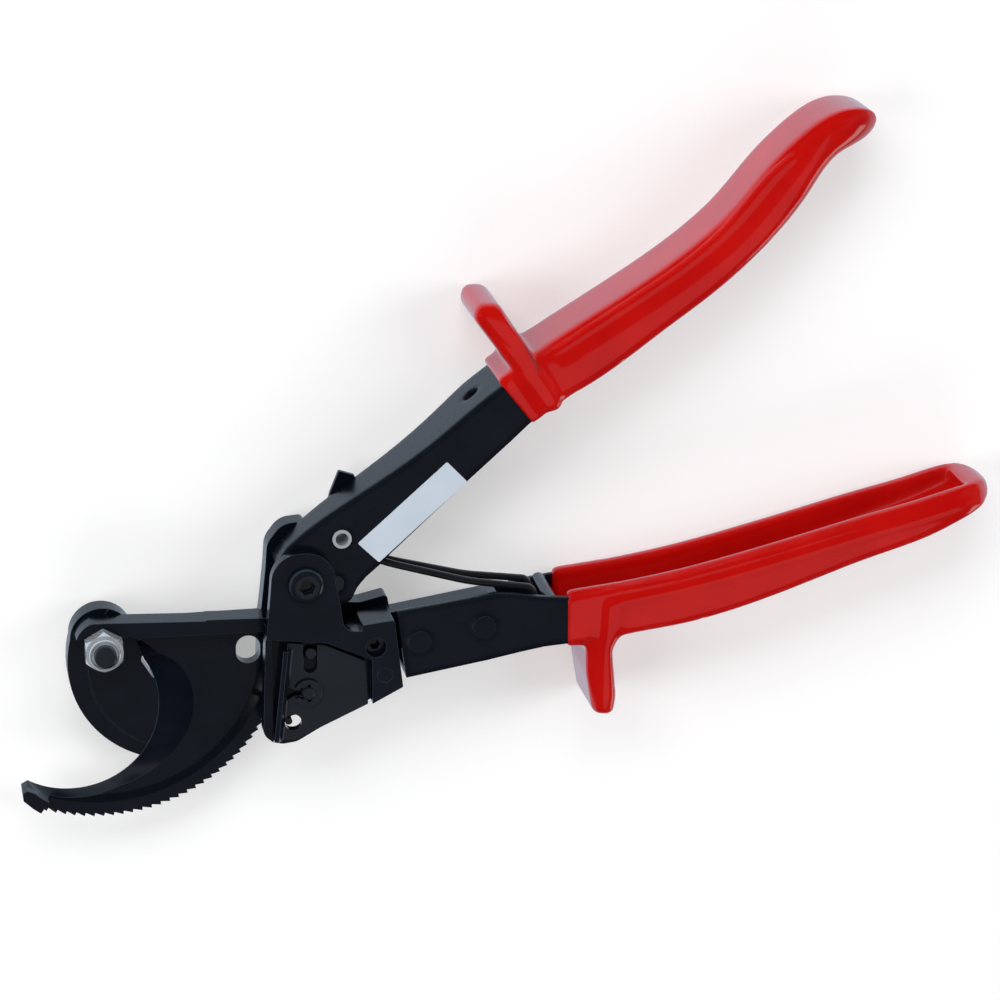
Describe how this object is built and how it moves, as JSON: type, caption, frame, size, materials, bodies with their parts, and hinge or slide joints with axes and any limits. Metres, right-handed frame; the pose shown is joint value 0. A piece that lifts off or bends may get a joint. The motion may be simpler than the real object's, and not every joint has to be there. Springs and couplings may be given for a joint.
{
  "type": "ratcheting cable cutter",
  "caption": "Hand tool that shears cable between a hooked fixed blade and a toothed swinging blade, driven by a pawl as the sprung handles are squeezed.",
  "frame": {"origin": "under the middle of the tool's bounding box, on the surface it lies on", "axes": "+X from the cutting head towards the lower handle's end, +Y across the tool towards the upper handle, +Z along the pivots, out of the front face"},
  "size_m": [0.2694, 0.1902, 0.0264],
  "materials": {
    "blued_steel": "gloss blue-black",
    "black_oxide": "satin black oxide",
    "zinc": "bright zinc",
    "bare_steel": "satin",
    "insert_nylon": "satin",
    "black_wire": "gloss black",
    "label_foil": "satin foil",
    "red_vinyl": "gloss dipped vinyl"
  },
  "bodies": {
    "frame": {"fixed_blade": "blued_steel", "front_frame": "blued_steel", "frame_rivets": "blued_steel", "block_set_screw": "black_oxide", "stop_pin": "black_oxide", "blade_pivot_bolt": "black_oxide", "blade_pivot_washer": "zinc", "blade_pivot_nut": "zinc", "nut_insert": "insert_nylon", "main_pivot_screw": "black_oxide", "pivot_bush": "bare_steel", "holding_pawl_pin": "black_oxide", "e_clip": "black_oxide", "holding_pawl_spring": "bare_steel", "lower_handle": "blued_steel", "handle_spacer": "blued_steel", "lower_grip": "red_vinyl", "handle_rivets": "blued_steel", "spring_anchor_pin": "black_oxide"},
    "cutting_blade": {"moving_blade": "blued_steel"},
    "handle": {"upper_handle": "blued_steel", "upper_grip": "red_vinyl", "label": "label_foil", "spring_rest_rivet": "zinc", "drive_pawl_pin": "black_oxide", "drive_pawl_spring": "bare_steel"},
    "drive_pawl": {"drive_pawl": "blued_steel"},
    "release": {"release_plate": "black_oxide", "holding_pawl": "blued_steel", "release_pin": "black_oxide"},
    "lever": {"rear_lever": "blued_steel"},
    "spring": {"handle_spring": "black_wire"}
  },
  "joints": [
    {"name": "blade_swing", "type": "hinge", "parent": "frame", "child": "cutting_blade", "pos_m": [-0.11169, -0.04464, 0.012], "axis": [0, 0, 1], "range_deg": [-3, 90]},
    {"name": "handle_squeeze", "type": "hinge", "parent": "frame", "child": "handle", "pos_m": [-0.05769, -0.02784, 0.012], "axis": [0, 0, 1], "range_deg": [-27, 0], "stiffness_Nm_per_rad": 0.6},
    {"name": "drive_pawl_swing", "type": "hinge", "parent": "handle", "child": "drive_pawl", "pos_m": [-0.04908, -0.02944, 0.012], "axis": [0, 0, 1], "range_deg": [0, 37]},
    {"name": "release_swing", "type": "hinge", "parent": "frame", "child": "release", "pos_m": [-0.05738, -0.05934, 0.012], "axis": [0, 0, 1], "range_deg": [-4, 0], "stiffness_Nm_per_rad": 0.05},
    {"name": "lever_swing", "type": "hinge", "parent": "handle", "child": "lever", "pos_m": [-0.04738, -0.01654, 0.012], "axis": [0, 0, 1], "range_deg": [-12, 12]},
    {"name": "spring_flex", "type": "hinge", "parent": "frame", "child": "spring", "pos_m": [0.00651, -0.04024, 0.012], "axis": [0, 0, 1], "range_deg": [0, 5.5]}
  ],
  "couplings": [
    {"joint": "drive_pawl_swing", "follows": "handle_squeeze", "ratio": -1.35},
    {"joint": "spring_flex", "follows": "handle_squeeze", "ratio": -0.185}
  ]
}
